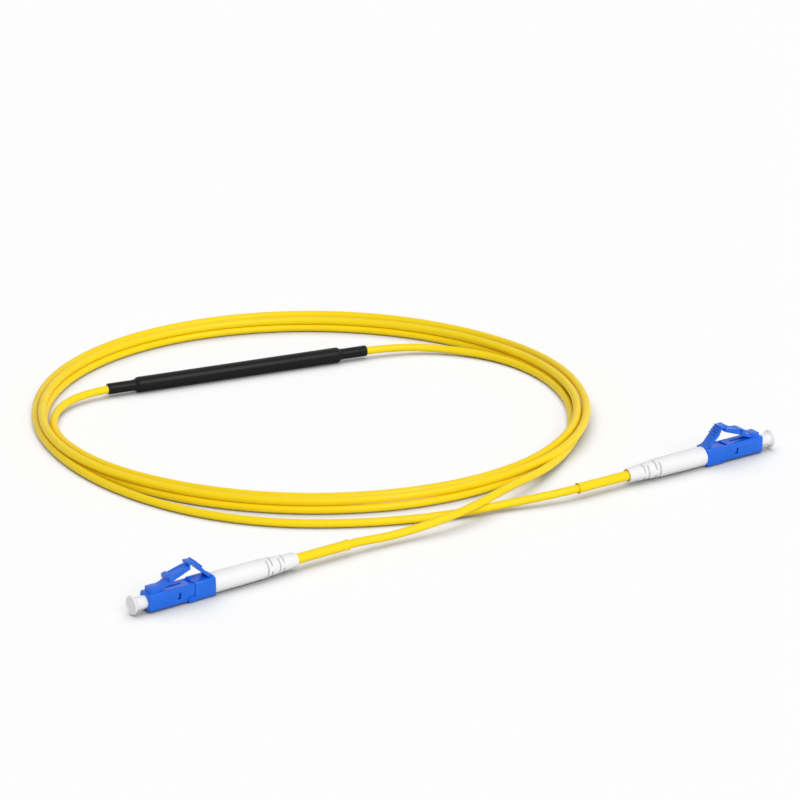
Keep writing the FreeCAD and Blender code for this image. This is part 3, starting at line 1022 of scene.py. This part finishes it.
@dataclass
class Plug:
    """One latched plug: the place of its nose, its direction in degrees, and sizes in millimetres."""

    letter: str
    nose: tuple[float, float]
    yaw: float
    axis_height: float = 2.65
    edge: float = 0.15
    spring_front: float = 7.35
    spring_rear: float = 11.85
    ferrule_travel: float = 0.8

    def body(self, kind: Body) -> str:
        """Name of this plug's own body of a kind."""
        return f"{kind.value}_{self.letter}"

    def moulding(self, node: str, body: str) -> None:
        """Copy a blue piece from its CAD node, join its triangles into faces and round its edges.

        Args:
            node: name of the node without the plug's letter.
            body: CAD body that it rides on.
        """
        source = f"{node}_{self.letter}"
        piece = merged_copy(source, f"{node}_moulding_{self.letter}", flat_faces=True)
        finished(piece, self.edge)
        handed_over(piece, body, BLUE_PBT, source)

    def tail_piece(self, model: bpy.types.Object, node: str, body: str, finish: Finish) -> None:
        """Copy a piece that was modelled once and put it in its place on this plug.

        Args:
            model: the piece in a plug's own frame.
            node: name of the CAD node that it stands for, without the plug's letter.
            body: CAD body that it rides on.
            finish: surface that it gets.
        """
        piece = copied(model, f"{node}_piece_{self.letter}")
        put(piece, (self.nose[0], self.nose[1], self.axis_height), self.yaw)
        handed_over(piece, body, finish, f"{node}_{self.letter}")

    def spring(self) -> None:
        """Copy the ferrule's spring in place of its node and give it a mesh of its own."""
        source = f"ferrule_spring_{self.letter}"
        piece = merged_copy(source, f"{source}_wire", flat_faces=False)
        handed_over(piece, Body.CABLE.value, SPRING_WIRE, source)
        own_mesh(piece)

    def build(self, boot: bpy.types.Object, sleeve: bpy.types.Object, cap: bpy.types.Object) -> None:
        """Dress the plug's mouldings and place its boot, sleeve and cap.

        Args:
            boot: the boot in a plug's own frame.
            sleeve: the strain sleeve in a plug's own frame.
            cap: the dust cap in a plug's own frame.
        """
        self.moulding("front_housing", Body.CABLE.value)
        self.moulding("rear_collar", Body.CABLE.value)
        self.moulding("latch_lever", self.body(Body.LATCH))
        self.moulding("trigger_lever", self.body(Body.TRIGGER))
        self.tail_piece(boot, "boot", Body.CABLE.value, BOOT_TPE)
        self.tail_piece(sleeve, "strain_sleeve", Body.CABLE.value, JACKET)
        self.tail_piece(cap, "dust_cap", self.body(Body.CAP), CAP_PE)
        self.spring()
        dress_nodes(
            {
                f"ferrule_{self.letter}": ZIRCONIA,
                f"ferrule_flange_{self.letter}": NICKEL,
                f"crimp_body_{self.letter}": NICKEL,
                f"crimp_sleeve_{self.letter}": NICKEL,
                f"jacket_end_{self.letter}": JACKET,
                f"buffered_fibre_{self.letter}": BUFFER,
            }
        )


@dataclass
class Attenuator:
    """The in-line attenuator: a heat-shrunk sleeve over a steel tube; millimetres from its middle.

    shoulder and foot count from body_half, lip from half_len. The second number of shoulder is a part of the
    fall from body_radius to end_radius, and that of foot and lip goes on top of end_radius.
    """

    centre: Point = (-54.25, 74.45, 2.2)
    yaw: float = ATTENUATOR_YAW
    half_len: float = 39.2
    body_half: float = 31.2
    body_radius: float = 2.2
    end_radius: float = 1.575
    shoulder: Profile = field(
        default_factory=lambda: [(-1.35, 0.0), (-1.0, 0.04), (-0.7, 0.2), (-0.35, 0.6), (-0.1, 0.86)]
    )
    foot: Profile = field(default_factory=lambda: [(0.3, 0.03), (1.2, 0.0)])
    lip: Profile = field(default_factory=lambda: [(-0.25, 0.0), (-0.08, -0.03), (0.0, -0.1)])
    mouth_radius: float = 1.2
    mouth_depth: float = 0.1
    bore_radius: float = 1.15
    tube_half: float = 28.05
    tube_radius: float = 1.8
    sides: int = 72

    def sleeve(self) -> bpy.types.Object:
        """Model the sleeve: full over the tube, drawn in softly at both ends on to the cable.

        Returns:
            The sleeve in its place.
        """
        fall = self.body_radius - self.end_radius
        outer = [(self.body_half + x, self.body_radius - part * fall) for x, part in self.shoulder]
        outer += [(self.body_half + x, self.end_radius + rise) for x, rise in self.foot]
        outer += [(self.half_len + x, self.end_radius + rise) for x, rise in self.lip]
        outer += [(self.half_len, self.mouth_radius)]
        bore = [
            (self.half_len - self.mouth_depth, self.bore_radius),
            (self.tube_half, self.bore_radius),
            (self.tube_half, self.tube_radius),
        ]
        outline = [(-x, r) for x, r in reversed(outer)] + outer + bore + [(-x, r) for x, r in reversed(bore)]
        piece = turned_piece("shrink_sleeve_piece", outline, self.sides, False)
        put(piece, self.centre, self.yaw)
        smooth(piece)
        return piece

    def build(self) -> None:
        """Place the sleeve and dress what it hides."""
        handed_over(self.sleeve(), Body.CABLE.value, SHRINK, "shrink_sleeve")
        dress_nodes({"attenuator_tube": NICKEL, "attenuating_fibre": BUFFER})


def main() -> None:
    """Build the scene: camera and cable first, then the plugs and the attenuator with what they hide."""
    logging.basicConfig(level=logging.INFO, format="%(name)s: %(message)s")
    bpy.context.scene.view_settings.view_transform = "Standard"
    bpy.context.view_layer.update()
    studio = Studio()
    studio.place_camera()
    studio.light(studio.lay_floor())
    Cable().build()
    tail = PlugTail()
    models = [tail.boot(), tail.strain_sleeve(), tail.dust_cap()]
    Plug(letter="a", nose=(-70.6, -87.4), yaw=35.0).build(*models)
    Plug(letter="b", nose=(88.3, 15.9), yaw=213.0).build(*models)
    for model in models:
        bpy.data.objects.remove(model)
    Attenuator().build()


if __name__ == "__main__":
    main()
